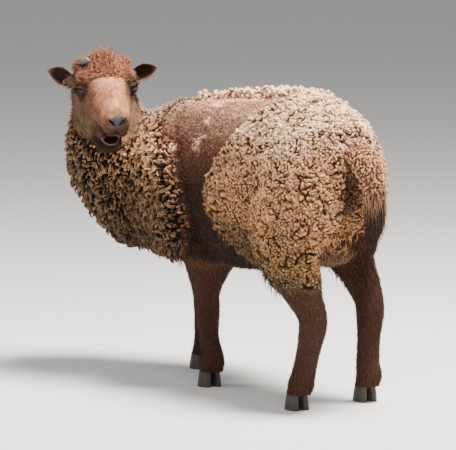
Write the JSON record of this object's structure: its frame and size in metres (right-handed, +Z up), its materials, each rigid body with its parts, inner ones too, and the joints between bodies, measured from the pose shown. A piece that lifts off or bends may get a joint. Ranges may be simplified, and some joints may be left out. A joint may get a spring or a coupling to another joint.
{
  "type": "soay sheep",
  "caption": "Life-size still model of a small primitive breed ewe, half out of her old fleece, standing with her head turned back over her side.",
  "frame": {"origin": "on the ground, under the middle of the box round the animal", "axes": "the animal's body faces -X, her left side is -Y, +Z is up"},
  "size_m": [0.8062, 0.341, 0.571],
  "materials": {
    "fleece": "matte wool",
    "face_hair": "matte short hair",
    "leg_hair": "matte short hair",
    "eye_glass": "wet gloss",
    "scur_horn": "rough horn",
    "hoof_horn": "rough horn"
  },
  "bodies": {
    "root": {"torso": "fleece", "neck": "fleece", "tail": "fleece", "head": "face_hair", "ear_left": "face_hair", "ear_right": "face_hair", "eye_left": "eye_glass", "eye_right": "eye_glass", "scur_left": "scur_horn", "scur_right": "scur_horn", "foreleg_left": "leg_hair", "foreleg_right": "leg_hair", "hindleg_left": "leg_hair", "hindleg_right": "leg_hair", "claw_foreleg_left_l": "hoof_horn", "claw_foreleg_left_r": "hoof_horn", "claw_foreleg_right_l": "hoof_horn", "claw_foreleg_right_r": "hoof_horn", "claw_hindleg_left_l": "hoof_horn", "claw_hindleg_left_r": "hoof_horn", "claw_hindleg_right_l": "hoof_horn", "claw_hindleg_right_r": "hoof_horn"}
  },
  "joints": []
}
